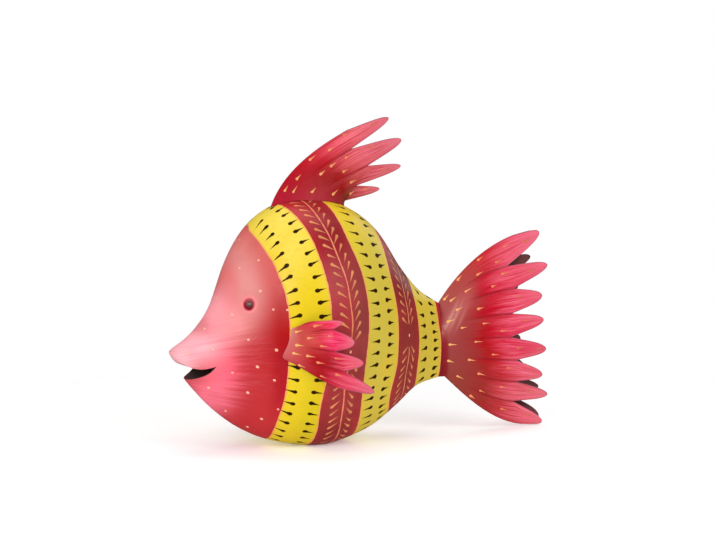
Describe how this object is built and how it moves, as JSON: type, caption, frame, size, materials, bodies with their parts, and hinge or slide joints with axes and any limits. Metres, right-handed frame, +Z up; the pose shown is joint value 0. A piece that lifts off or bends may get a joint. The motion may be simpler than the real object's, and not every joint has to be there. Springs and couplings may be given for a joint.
{
  "type": "metal fish sculpture",
  "caption": "Painted sheet-metal fish ornament with a round striped body that stands on its belly, cupped side fins, a back fin and a flared tail.",
  "frame": {"origin": "on the surface it stands on, under the middle of the whole fish's length and width", "axes": "+X from the nose to the tail, +Y towards the fish's right side, +Z up"},
  "size_m": [0.4681, 0.2458, 0.3618],
  "materials": {
    "body_paint": "hand-painted in yellow, maroon and crimson bands, semi-gloss",
    "fin_paint": "hand-painted from maroon through red to pink tips, semi-gloss",
    "eye_bead": "glossy dark brown"
  },
  "bodies": {
    "root": {"body": "body_paint", "tail_fin": "fin_paint", "dorsal_fin": "fin_paint", "side_fin_left": "fin_paint", "side_fin_right": "fin_paint", "eye_left": "eye_bead", "eye_right": "eye_bead"}
  },
  "joints": []
}
